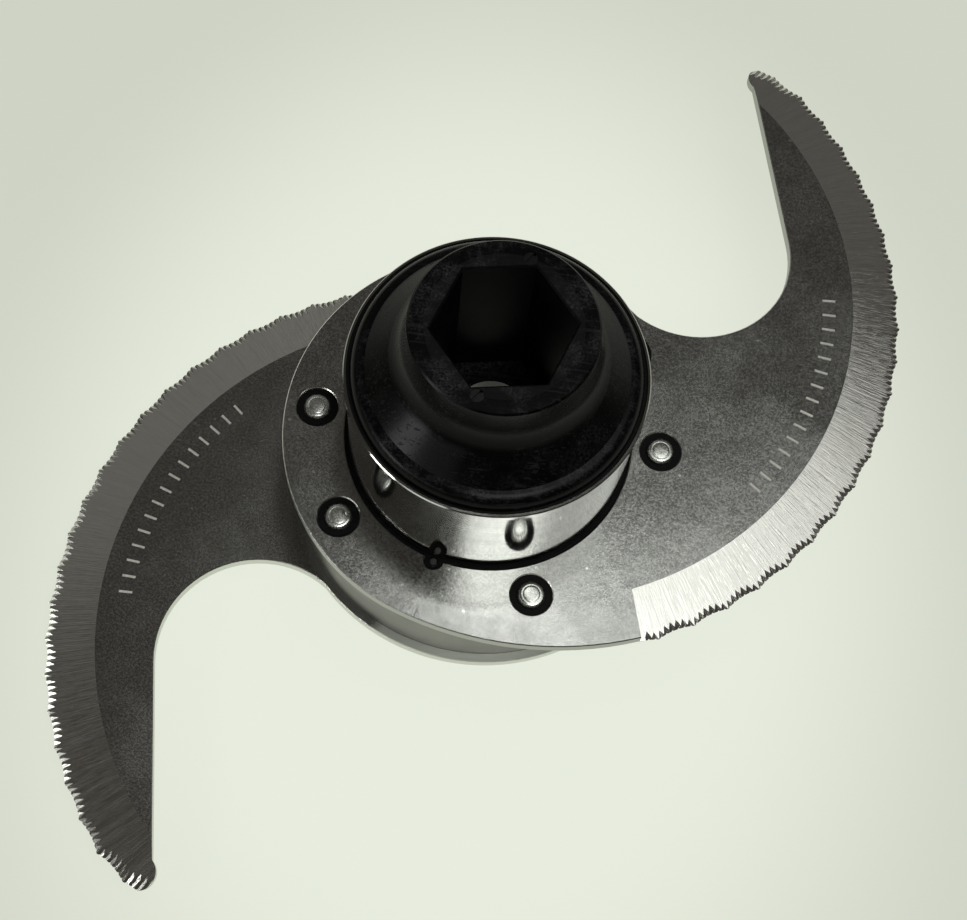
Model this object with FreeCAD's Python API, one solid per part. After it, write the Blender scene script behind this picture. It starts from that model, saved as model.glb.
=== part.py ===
import FreeCAD, Part
import math
import os

# Two-bladed food processor blade: two serrated steel stampings on a drum, and
# a moulded hub with a hexagonal drive socket standing in a steel collar.
# Millimetres and degrees. Origin on the hub axis in the rest plane, +Z up.

# Heights of the stack
REST_RISE = 4.0
PLATE = 2.2
BLADE_STEP = 19.07
COLLAR_RISE = 24.1
NECK_RISE = 40.1
LOW_BOTTOM = REST_RISE
LOW_TOP = LOW_BOTTOM + PLATE
UP_BOTTOM = LOW_BOTTOM + BLADE_STEP
UP_TOP = UP_BOTTOM + PLATE
COLLAR_TOP = UP_TOP + COLLAR_RISE
NECK_TOP = UP_TOP + NECK_RISE

# Radial gap between pieces that fit in one another
FIT = 0.02

# Collar through the stack, with a rolled lip at its top
COLLAR_R = 23.45
COLLAR_WALL = 1.5
COLLAR_FOOT = 0.4
LIP_OUT = 0.45
LIP_H = 1.2
LIP_BREAK = 0.1667

# Pins in the stampings and the black bushes round them
PIN_ANGLES = (1.7, 39.2, 110.8, 179.0, 219.2, 290.8)
PIN_R = 2.3
PIN_REACH = 7.0
PIN_PROUD = 0.45
PIN_CHAMFER = 0.35
BUSH_R = 3.5
BUSH_SUNK = 0.45

# Stamping: hole over the collar, ring of pins and root disc round them
HOLE_GAP = 0.75
PIN_WEB = 1.4
DISC_WEB = 1.9
HOLE_R = COLLAR_R + HOLE_GAP
PIN_PITCH_R = HOLE_R + PIN_WEB + BUSH_R
DISC_R = PIN_PITCH_R + BUSH_R + DISC_WEB
LOWER_TURN = 176.7
EDGE_BREAK = 0.15

# Stamping: trailing side, a hollow arc and a straight run to the round tip
HOLLOW_R = 17.1
HOLLOW_TURN = 51.64
HOLLOW_BITE = 0.2
TRAIL_TURN = 14.2
TIP_R = 2.8
TIP_BULGE = 0.6
TIP_IN = 1.04

# Stamping: cutting side, swept about its own centre
SWEEP_X = 1.86
SWEEP_Y = 29.43
EDGE_R = 67.56
EDGE_SPARE = 0.4
FLARE_TURN = 250.9
HEEL_TURN = -74.2
HEEL_PLAIN = 0.87
HEEL_BREAK = 0.12

# Ground bevel on top of the cutting side
BEVEL_W = 8.8
BEVEL_LAND = 0.15

# Serration: waves along the edge, each of small vee teeth
WAVE_PITCH = 5.43
WAVE_START = -63.66
WAVE_DEPTH = 0.46
TIP_WAVES = 2
TIP_WAVE_LEAD = 0.5
TIP_BEND = 8.4
TEETH = 6
TOOTH_DEPTH = 0.2
HEEL_TEETH = 2
GRIND_TILT = 25.3
WAVE_CHORD = 2 * EDGE_R * math.sin(math.radians(WAVE_PITCH / 2))
SCALLOP_R = WAVE_CHORD ** 2 / (8 * WAVE_DEPTH) + WAVE_DEPTH / 2

# Clearances of the cutting tools round the plate
TOOL_LIFT = 3.0
TOOL_RUN = 9.0
TOOL_TURN = 6.0

# Notch in each stamping's hole and the locating pin in it
NOTCH_TURN = 255.5
NOTCH_OUT = 0.25
NOTCH_R = 1.6
NOTCH_PITCH_R = HOLE_R + NOTCH_OUT
LOCATOR_R = 0.8
LOCATOR_REACH = 4.0
LOCATOR_SUNK = 0.6
LOCATOR_CHAMFER = 0.25

# Drum between the stampings
BAND_INSET = 1.5
BAND_R = DISC_R - BAND_INSET
BAND_WALL = 1.2
BAND_BREAK = 0.2

# Black rings in the stampings' holes and the ring nut under the stack
UP_RING_SUNK = 0.87
LOW_RING_SUNK = 0.3
NUT_OVER = 1.2
NUT_R = HOLE_R + NUT_OVER
NUT_BREAK = 0.4
NUT_SLOTS = 4
NUT_SLOT_TURN = 45.0
NUT_SLOT_W = 3.0
NUT_SLOT_DEPTH = 1.1
NUT_SLOT_H = 2.6

# Hub: flange in the lip, black seal round it, bead, skirt, cove and neck
FLANGE_IN = 0.65
FLANGE_SUNK = 1.0
FLANGE_RISE = 0.3
FLANGE_R = COLLAR_R - FLANGE_IN
SEAL_W = 0.6
SEAL_SUNK = 0.35
BEAD_W = 2.3
BEAD_H = 2.0
BEAD_SWELL = 0.51
SKIRT_H = 3.5
COVE_W = 2.3
COVE_H = 5.05
COVE_DIP = 0.52
NECK_R = 14.3
NECK_DRAFT = 0.3
NECK_BREAK = 0.3

# Hub: barrel and the hollow under it
HUB_WALL = 6.95
UNDER_R = COLLAR_R - COLLAR_WALL - HUB_WALL
FLOOR_H = 5.0
FLOOR_HOLE_R = 6.0
SOCKET_DEPTH = 32.4
BARREL_BREAK = 0.5
HUB_FOOT = 0.0

# Drive insert and the two slotted keys on its seam
HEX_SIDES = 6
HEX_FLATS = 19.0
HEX_TURN = 11.0
HEX_LEAD = 0.3
INSERT_R = 11.9
KEY_TURNS = (77.6, 257.6)
KEY_R = 1.05
KEY_LENGTH = 6.0
KEY_SUNK = 0.15
KEY_SLOT_W = 0.45
KEY_SLOT_DEPTH = 0.5
KEY_SLOT_TURN = 55.0

UP = FreeCAD.Vector(0, 0, 1)
ORIGIN = FreeCAD.Vector(0, 0, 0)
SWEEP = FreeCAD.Vector(SWEEP_X, SWEEP_Y, 0)
QUARTER = 90
FULL_TURN = 360


def vec(x, y, z=0.0):
    return FreeCAD.Vector(x, y, z)


def polar(radius, turn, at=ORIGIN):
    """Point at a radius and an angle about a centre."""
    angle = math.radians(turn)
    return at + vec(radius * math.cos(angle), radius * math.sin(angle))


def turn_of(point, at=ORIGIN):
    """Angle of a point seen from a centre."""
    return math.degrees(math.atan2(point.y - at.y, point.x - at.x))


def line(start, end):
    return Part.makeLine(start, end)


def arc(at, radius, start, end):
    """Arc about a centre between two angles, counter-clockwise when end > start."""
    middle = (start + end) / 2
    points = [polar(radius, turn, at) for turn in (start, middle, end)]
    return Part.Arc(*points).toShape()


def bowed(start, end, bow):
    """Section arc between two points, swelling away from the axis by a bow."""
    along = (end - start).normalize()
    middle = (start + end) * 0.5 + vec(along.z, 0, -along.x) * bow
    return Part.Arc(start, middle, end).toShape()


def section(corners):
    """Points of a section from (radius, height) corners."""
    return [vec(r, 0, z) for r, z in corners]


def outline_face(points):
    return Part.Face(Part.makePolygon(points + points[:1]))


def turned(corners):
    """Solid turned about the hub axis from (radius, height) corners."""
    return outline_face(section(corners)).revolve(ORIGIN, UP, FULL_TURN)


def rod(radius, bottom, top, at=ORIGIN):
    return Part.makeCylinder(radius, top - bottom, at + UP * bottom)


def tube(outer, inner, bottom, top, at=ORIGIN):
    return rod(outer, bottom, top, at).cut(rod(inner, bottom, top, at))


def lengthwise(start, unit, at, radius):
    """Distance along a line at which it leaves a circle."""
    from_centre = start - at
    along = from_centre.dot(unit)
    return math.sqrt(along ** 2 - from_centre.dot(from_centre) + radius ** 2) - along


def wave_dip(share):
    """Depth of a wave under its chord at a share of its length."""
    return WAVE_DEPTH * (1 - (2 * share - 1) ** 2)


def heel_corner():
    """Corner just inside the cut-short wave, where the cutting side begins."""
    turn = WAVE_START - HEEL_TEETH * WAVE_PITCH / TEETH - HEEL_PLAIN
    share = 1 + (turn - WAVE_START) / WAVE_PITCH
    chord_r = EDGE_R * math.cos(math.radians(WAVE_PITCH / 2))
    return polar(chord_r - wave_dip(share) - HEEL_BREAK, turn, SWEEP)


def tip_centre():
    """Centre of the round tip, beside the trailing run and inside the sweep."""
    hollow_at = polar(DISC_R + HOLLOW_R - HOLLOW_BITE, HOLLOW_TURN)
    unit = polar(1, TRAIL_TURN + QUARTER)
    start = polar(HOLLOW_R + TIP_R - TIP_BULGE, TRAIL_TURN, hollow_at)
    return start + unit * lengthwise(start, unit, SWEEP, EDGE_R - TIP_R - TIP_IN)


def full_waves():
    """How many whole waves fit before the ones that bend round the tip."""
    room = turn_of(tip_centre(), SWEEP) - WAVE_START
    return int(room / WAVE_PITCH - TIP_WAVE_LEAD)


def trailing_side():
    """Edges of the hollow arc and the straight run, from the disc to the tip."""
    gap = DISC_R + HOLLOW_R - HOLLOW_BITE
    hollow_at = polar(gap, HOLLOW_TURN)
    share = (gap ** 2 + HOLLOW_R ** 2 - DISC_R ** 2) / (2 * gap * HOLLOW_R)
    start = HOLLOW_TURN - FULL_TURN / 2 + math.degrees(math.acos(share))
    joint = polar(HOLLOW_R, TRAIL_TURN, hollow_at)
    back = math.sqrt(TIP_R ** 2 - (TIP_R - TIP_BULGE) ** 2)
    away = polar(1, TRAIL_TURN + QUARTER)
    to_tip = joint + away * ((tip_centre() - joint).dot(away) - back)
    edges = [arc(hollow_at, HOLLOW_R, start, TRAIL_TURN), line(joint, to_tip)]
    return edges, polar(HOLLOW_R, start, hollow_at), to_tip


def tip_side(corner, to_tip):
    """Edges from the last full wave round the tip to the trailing run."""
    at = tip_centre()
    start = turn_of(corner, at) + math.degrees(math.acos(TIP_R / (corner - at).Length))
    end = turn_of(to_tip, at) % FULL_TURN
    return [line(corner, polar(TIP_R, start, at)), arc(at, TIP_R, start, end)]


def flare(heel):
    """Arc that leaves the disc smoothly and ends at the heel corner."""
    reach = heel.dot(polar(1, FLARE_TURN))
    radius = (heel.dot(heel) - 2 * DISC_R * reach + DISC_R ** 2) / (2 * (DISC_R - reach))
    at = polar(DISC_R - radius, FLARE_TURN)
    return arc(at, radius, FLARE_TURN, turn_of(heel, at) + FULL_TURN)


def stamping_outline():
    """Closed outline of disc and blade, left a little full along the waves."""
    trailing, disc_corner, to_tip = trailing_side()
    heel = heel_corner()
    first = turn_of(heel, SWEEP)
    last = WAVE_START + full_waves() * WAVE_PITCH
    spare_r = EDGE_R + EDGE_SPARE
    edges = [arc(ORIGIN, DISC_R, turn_of(disc_corner), FLARE_TURN), flare(heel)]
    edges += [line(heel, polar(spare_r, first, SWEEP)), arc(SWEEP, spare_r, first, last)]
    edges += tip_side(polar(spare_r, last, SWEEP), to_tip)
    return edges + trailing


def bevel_cutter():
    """Ring-shaped wedge over the cutting side, ended by the heel wall."""
    heel = heel_corner()
    inner = EDGE_R - BEVEL_W
    reach = 2 * BEVEL_W
    drop = reach * (PLATE - BEVEL_LAND) / BEVEL_W
    corners = [(inner, 0), (inner + reach, -drop), (inner + reach, TOOL_LIFT), (inner, TOOL_LIFT)]
    face = outline_face(section(corners))
    first = turn_of(heel, SWEEP) - TOOL_TURN
    last = WAVE_START + (full_waves() + TIP_WAVES) * WAVE_PITCH + TOOL_TURN
    face.rotate(ORIGIN, UP, first)
    wedge = face.revolve(ORIGIN, UP, last - first)
    wedge.translate(SWEEP)
    along = polar(reach, HEEL_TURN)
    aside = polar(reach, HEEL_TURN - QUARTER)
    start = heel - along - UP * (PLATE + TOOL_LIFT)
    far = heel + along - UP * (PLATE + TOOL_LIFT)
    block = outline_face([start, far, far + aside, start + aside])
    return wedge.cut(block.extrude(UP * (PLATE + 2 * TOOL_LIFT)))


def comb_outline(first_tooth):
    """Points across a wave: ridges at the land, vee floors under the edge."""
    tilt = math.radians(GRIND_TILT)
    step = WAVE_CHORD / TEETH
    points = []
    for half_tooth in range(2 * first_tooth, 2 * TEETH + 1):
        share = half_tooth / (2 * TEETH)
        if half_tooth % 2:
            height = -(wave_dip(share) + TOOTH_DEPTH) * math.sin(tilt)
        else:
            height = BEVEL_LAND * math.cos(tilt) - wave_dip(share) * math.sin(tilt)
        points.append((half_tooth * step / 2 - WAVE_CHORD / 2, height))
    return points


def comb(first_tooth):
    """Grinding comb of one wave, its grooves running outward and down."""
    tilt = math.radians(GRIND_TILT)
    outline = comb_outline(first_tooth)
    outline += [(outline[-1][0], PLATE + TOOL_LIFT), (outline[0][0], PLATE + TOOL_LIFT)]
    points = [vec(math.sin(tilt) * v, u, math.cos(tilt) * v - PLATE) for u, v in outline]
    plunge = vec(math.cos(tilt), 0, -math.sin(tilt))
    face = outline_face(points)
    face.translate(plunge * -TOOL_RUN)
    return face.extrude(plunge * 2 * TOOL_RUN)


def scallop():
    """Round cutter that takes one wave out of the edge."""
    return rod(SCALLOP_R, -PLATE - TOOL_LIFT, TOOL_LIFT, vec(SCALLOP_R - WAVE_DEPTH, 0))


def wave_ends():
    """Crests between the waves, from the heel along the sweep and round the tip."""
    turns = [WAVE_START + wave * WAVE_PITCH for wave in range(-1, full_waves() + 1)]
    crests = [polar(EDGE_R, turn, SWEEP) for turn in turns]
    for wave in range(TIP_WAVES):
        turn = turns[-1] + (wave + 0.5) * WAVE_PITCH + QUARTER + TIP_BEND
        crests.append(crests[-1] + polar(WAVE_CHORD, turn))
    return crests


def serration():
    """Cutters of all the waves and their teeth, the first wave cut short."""
    crests = wave_ends()
    tools = []
    for wave, (start, end) in enumerate(zip(crests, crests[1:])):
        first_tooth = 0 if wave else TEETH - HEEL_TEETH
        for tool in (scallop(), comb(first_tooth)):
            tool.rotate(ORIGIN, UP, turn_of(end, start) - QUARTER)
            tool.translate((start + end) * 0.5)
            tools.append(tool)
    return tools


def eased_hole(radius, at=ORIGIN):
    """Hole through a stamping with its top edge broken."""
    mouth = Part.makeCone(radius, radius + EDGE_BREAK, EDGE_BREAK, at - UP * EDGE_BREAK)
    return rod(radius, -PLATE, 0, at).fuse(mouth)


def blank():
    """Stamped plate with its top edge broken, top face at height nought."""
    outer = Part.Wire(Part.__sortEdges__(stamping_outline()))
    inner = outer.makeOffset2D(-EDGE_BREAK)
    body = Part.Face(outer).extrude(UP * (EDGE_BREAK - PLATE))
    body.translate(UP * -EDGE_BREAK)
    outer.translate(UP * -EDGE_BREAK)
    return body.fuse(Part.makeLoft([outer, inner], True, True)).removeSplitter()


def stamping():
    """One blade with its top face at height nought."""
    plate = blank().cut(bevel_cutter())
    holes = [eased_hole(HOLE_R), eased_hole(NOTCH_R, polar(NOTCH_PITCH_R, NOTCH_TURN))]
    holes += [eased_hole(BUSH_R, polar(PIN_PITCH_R, turn)) for turn in PIN_ANGLES]
    plate = plate.cut(holes)
    return plate.cut(serration()).Solids[0]


def pin_turns(lower):
    shift = LOWER_TURN if lower else 0.0
    return [turn + shift for turn in PIN_ANGLES]


def locator_place(lower):
    return polar(NOTCH_PITCH_R, NOTCH_TURN + (LOWER_TURN if lower else 0.0))


def headed_pin(radius, reach, rise, chamfer, lower):
    """Pin from inside the drum out through a stamping, with a chamfered flat head."""
    corners = [(0, -reach), (radius, -reach), (radius, rise - chamfer)]
    corners += [(radius - chamfer, rise), (0, rise)]
    pin = turned(corners)
    if lower:
        pin.rotate(ORIGIN, polar(1, 0), FULL_TURN / 2)
    pin.translate(UP * (LOW_TOP if lower else UP_BOTTOM))
    return pin


def blade_pins(lower):
    """Six pins from the drum through a stamping, heads on its outer side."""
    pins = []
    for turn in pin_turns(lower):
        pin = headed_pin(PIN_R, PIN_REACH, PLATE + PIN_PROUD, PIN_CHAMFER, lower)
        pin.translate(polar(PIN_PITCH_R, turn))
        pins.append(pin)
    return Part.Compound(pins)


def blade_bushes(lower):
    """Black rings round the pins, sunk a little in the stamping."""
    bottom = LOW_BOTTOM + BUSH_SUNK if lower else UP_BOTTOM
    top = bottom + PLATE - BUSH_SUNK
    places = [polar(PIN_PITCH_R, turn) for turn in pin_turns(lower)]
    return Part.Compound([tube(BUSH_R - FIT, PIN_R + FIT, bottom, top, at) for at in places])


def locator(lower):
    """Small pin standing in the notch of a stamping's hole."""
    pin = headed_pin(LOCATOR_R, LOCATOR_REACH, PLATE - LOCATOR_SUNK, LOCATOR_CHAMFER, lower)
    pin.translate(locator_place(lower))
    return pin


def gap_ring(lower):
    """Black ring between collar and stamping, with a lobe that fills the notch."""
    bottom, top = UP_BOTTOM, UP_TOP - UP_RING_SUNK
    if lower:
        bottom, top = LOW_BOTTOM + LOW_RING_SUNK, LOW_TOP
    at = locator_place(lower)
    body = rod(HOLE_R - FIT, bottom, top).fuse(rod(NOTCH_R - FIT, bottom, top, at))
    holes = [rod(COLLAR_R + FIT, bottom, top), rod(LOCATOR_R + FIT, bottom, top, at)]
    return body.cut(holes).removeSplitter()


def spacer_band():
    """Polished band round the drum, with broken edges."""
    inner = BAND_R - BAND_WALL
    low, high = LOW_TOP, UP_BOTTOM
    corners = [(inner, low), (BAND_R - BAND_BREAK, low), (BAND_R, low + BAND_BREAK)]
    corners += [(BAND_R, high - BAND_BREAK), (BAND_R - BAND_BREAK, high), (inner, high)]
    return turned(corners)


def spacer_core():
    """Thick ring inside the band, drilled from both ends for the pins."""
    core = tube(BAND_R - BAND_WALL - FIT, COLLAR_R + FIT, LOW_TOP, UP_BOTTOM)
    drills = []
    for lower in (False, True):
        low = LOW_TOP if lower else UP_BOTTOM - PIN_REACH
        for turn in pin_turns(lower):
            drills.append(rod(PIN_R + FIT, low, low + PIN_REACH, polar(PIN_PITCH_R, turn)))
        low = LOW_TOP if lower else UP_BOTTOM - LOCATOR_REACH
        drills.append(rod(LOCATOR_R + FIT, low, low + LOCATOR_REACH, locator_place(lower)))
    return core.cut(drills)


def collar():
    """Steel sleeve with a rolled lip and a seat for the flange and its seal."""
    inner = COLLAR_R - COLLAR_WALL
    seat_r = FLANGE_R + SEAL_W
    lip = COLLAR_R + LIP_OUT
    foot = COLLAR_TOP - LIP_H
    seat = COLLAR_TOP - FLANGE_SUNK
    corners = [(inner, COLLAR_FOOT), (COLLAR_R, COLLAR_FOOT), (COLLAR_R, foot - LIP_OUT)]
    corners += [(lip, foot), (lip, COLLAR_TOP - LIP_BREAK), (lip - LIP_BREAK, COLLAR_TOP)]
    corners += [(seat_r, COLLAR_TOP), (seat_r, seat), (inner, seat)]
    return turned(corners)


def top_seal():
    """Black ring in the groove between the collar's lip and the hub's flange."""
    outer = FLANGE_R + SEAL_W - FIT
    return tube(outer, FLANGE_R + FIT, COLLAR_TOP - FLANGE_SUNK, COLLAR_TOP - SEAL_SUNK)


def ring_nut():
    """Slotted ring nut under the lower stamping; the part rests on it."""
    inner = COLLAR_R + FIT
    corners = [(inner, 0), (NUT_R - NUT_BREAK, 0), (NUT_R, NUT_BREAK)]
    corners += [(NUT_R, REST_RISE), (inner, REST_RISE)]
    nut = turned(corners)
    slots = []
    for index in range(NUT_SLOTS):
        corner = vec(NUT_R - NUT_SLOT_DEPTH, -NUT_SLOT_W / 2, 0)
        slot = Part.makeBox(2 * NUT_SLOT_DEPTH, NUT_SLOT_W, NUT_SLOT_H, corner)
        slot.rotate(ORIGIN, UP, NUT_SLOT_TURN + index * FULL_TURN / NUT_SLOTS)
        slots.append(slot)
    return nut.cut(slots)


def hub_side():
    """Outer edges of the hub from its flange up to the neck's top face."""
    low = COLLAR_TOP - FLANGE_SUNK
    bead_foot = COLLAR_TOP + FLANGE_RISE
    bead_top = bead_foot + BEAD_H
    skirt_top = bead_top + SKIRT_H
    neck_foot_r = NECK_R + NECK_DRAFT
    corners = [(FLANGE_R, low), (FLANGE_R, bead_foot), (FLANGE_R - BEAD_W, bead_top)]
    corners += [(neck_foot_r + COVE_W, skirt_top), (neck_foot_r, skirt_top + COVE_H)]
    corners += [(NECK_R, NECK_TOP - NECK_BREAK), (NECK_R - NECK_BREAK, NECK_TOP)]
    points = section(corners)
    bows = {1: BEAD_SWELL, 3: -COVE_DIP}
    edges = []
    for index, (start, end) in enumerate(zip(points, points[1:])):
        edges.append(bowed(start, end, bows[index]) if index in bows else line(start, end))
    return edges


def hub_inside():
    """Section points from the neck's top face through the hollows to the flange."""
    barrel_r = COLLAR_R - COLLAR_WALL - FIT
    floor_top = NECK_TOP - SOCKET_DEPTH
    corners = [(NECK_R - NECK_BREAK, NECK_TOP), (INSERT_R, NECK_TOP), (INSERT_R, floor_top)]
    corners += [(FLOOR_HOLE_R, floor_top), (FLOOR_HOLE_R, floor_top - FLOOR_H)]
    corners += [(UNDER_R, floor_top - FLOOR_H), (UNDER_R, HUB_FOOT)]
    corners += [(barrel_r - BARREL_BREAK, HUB_FOOT), (barrel_r, HUB_FOOT + BARREL_BREAK)]
    corners += [(barrel_r, COLLAR_TOP - FLANGE_SUNK), (FLANGE_R, COLLAR_TOP - FLANGE_SUNK)]
    return section(corners)


def hub():
    """Moulded hub: barrel in the collar, flange, bead, skirt and neck."""
    points = hub_inside()
    inside = [line(one, two) for one, two in zip(points, points[1:])]
    face = Part.Face(Part.Wire(Part.__sortEdges__(inside + hub_side())))
    return face.revolve(ORIGIN, UP, FULL_TURN).cut(key_holes())


def key_places():
    return [polar(INSERT_R, turn) for turn in KEY_TURNS]


def key_holes():
    return [rod(KEY_R + FIT, NECK_TOP - KEY_LENGTH, NECK_TOP, at) for at in key_places()]


def hexagon(flats, height):
    corner_r = flats / 2 / math.cos(math.pi / HEX_SIDES)
    turns = [HEX_TURN + side * FULL_TURN / HEX_SIDES for side in range(HEX_SIDES)]
    points = [polar(corner_r, turn) + UP * height for turn in turns]
    return Part.makePolygon(points + points[:1])


def drive_insert():
    """Bush with the hexagonal drive hole, its mouth eased a little."""
    bottom = NECK_TOP - SOCKET_DEPTH
    bush = rod(INSERT_R - FIT, bottom, NECK_TOP)
    hole = Part.Face(hexagon(HEX_FLATS, bottom)).extrude(UP * SOCKET_DEPTH)
    mouth = [hexagon(HEX_FLATS, NECK_TOP - HEX_LEAD), hexagon(HEX_FLATS + 2 * HEX_LEAD, NECK_TOP)]
    return bush.cut([hole, Part.makeLoft(mouth, True)] + key_holes())


def insert_keys():
    """Two slotted keys half in the insert and half in the hub."""
    keys = []
    top = NECK_TOP - KEY_SUNK
    for at in key_places():
        key = rod(KEY_R, NECK_TOP - KEY_LENGTH, top, at)
        corner = vec(-2 * KEY_R, -KEY_SLOT_W / 2, top - KEY_SLOT_DEPTH)
        slot = Part.makeBox(4 * KEY_R, KEY_SLOT_W, 2 * KEY_SLOT_DEPTH, corner)
        slot.rotate(ORIGIN, UP, KEY_SLOT_TURN)
        slot.translate(at)
        keys.append(key.cut(slot))
    return Part.Compound(keys)


def blades():
    """Upper blade, and the same stamping turned round as the lower one."""
    upper = stamping()
    lower = upper.copy()
    lower.rotate(ORIGIN, UP, LOWER_TURN)
    upper.translate(UP * UP_TOP)
    lower.translate(UP * LOW_TOP)
    return upper, lower


def main():
    os.makedirs("parts", exist_ok=True)
    upper, lower = blades()
    nodes = {
        "hub": hub(),
        "drive_insert": drive_insert(),
        "insert_keys": insert_keys(),
        "collar": collar(),
        "top_seal": top_seal(),
        "upper_blade": upper,
        "lower_blade": lower,
        "upper_pins": blade_pins(False),
        "upper_bushes": blade_bushes(False),
        "upper_locator": locator(False),
        "upper_gap_ring": gap_ring(False),
        "lower_pins": blade_pins(True),
        "lower_bushes": blade_bushes(True),
        "lower_locator": locator(True),
        "lower_gap_ring": gap_ring(True),
        "spacer_band": spacer_band(),
        "spacer_core": spacer_core(),
        "ring_nut": ring_nut(),
    }
    for name, shape in nodes.items():
        shape.exportStep("parts/" + name + ".step")
        print(name, len(shape.Solids), "solids", round(shape.Volume), "mm3", shape.isValid())


main()
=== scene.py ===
"""Looks of a two-bladed food processor blade, in metres and in the CAD frame."""

import logging
import math
from dataclasses import dataclass
from enum import Enum
from typing import Callable, Optional, Sequence, Union

import bmesh
import bpy
from mathutils import Matrix, Quaternion, Vector


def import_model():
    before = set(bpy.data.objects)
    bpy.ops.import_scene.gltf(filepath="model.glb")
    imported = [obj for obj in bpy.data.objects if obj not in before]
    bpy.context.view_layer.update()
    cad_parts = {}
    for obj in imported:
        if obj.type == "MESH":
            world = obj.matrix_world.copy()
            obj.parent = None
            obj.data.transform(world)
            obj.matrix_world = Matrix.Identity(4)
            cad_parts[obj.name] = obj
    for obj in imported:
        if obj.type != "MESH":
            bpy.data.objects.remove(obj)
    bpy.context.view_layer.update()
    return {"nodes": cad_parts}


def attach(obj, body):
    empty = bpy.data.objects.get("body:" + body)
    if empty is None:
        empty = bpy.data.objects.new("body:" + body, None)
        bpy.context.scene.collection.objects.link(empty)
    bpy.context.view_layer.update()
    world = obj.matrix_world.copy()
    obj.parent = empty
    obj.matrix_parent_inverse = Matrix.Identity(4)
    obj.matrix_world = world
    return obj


LOG = logging.getLogger("blade")
MM = 0.001
BODY = "root"
IMAGE_SIZE = (967, 920)
SENSOR_MM = 36.0

Colour = tuple[float, float, float]
Point = tuple[float, float, float]
Span = tuple[float, float]
Material = bpy.types.Material
Node = bpy.types.Node
Socket = bpy.types.NodeSocket
Nodes = dict[str, bpy.types.Object]
Value = Union[Socket, float, Sequence[float]]


# Sizes shared with the CAD model, in millimetres and degrees


@dataclass(frozen=True)
class Stack:
    """Heights of the blades, how far the lower one is turned, and the spacer's radius."""

    upper_top: float = 25.27
    lower_top: float = 6.2
    lower_turn: float = 176.7
    band_r: float = 33.0


@dataclass(frozen=True)
class Sweep:
    """The circle that the cutting edge is ground on, in the stamping's own frame."""

    x: float = 1.86
    y: float = 29.43
    edge_r: float = 67.56
    bevel_w: float = 8.8


@dataclass(frozen=True)
class PinCircle:
    """Where the pins stand round the hole of a stamping, in its own frame."""

    radius: float = 29.1
    head_r: float = 2.3
    angles: tuple[float, ...] = (1.7, 39.2, 110.8, 179.0, 219.2, 290.8)


STACK = Stack()
SWEEP = Sweep()
PINS = PinCircle()


# Node trees


@dataclass(frozen=True)
class Noise:
    """A noise texture: features per unit, finer layers, and how much each of them counts."""

    scale: float
    detail: float
    rough: float = 0.5


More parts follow.
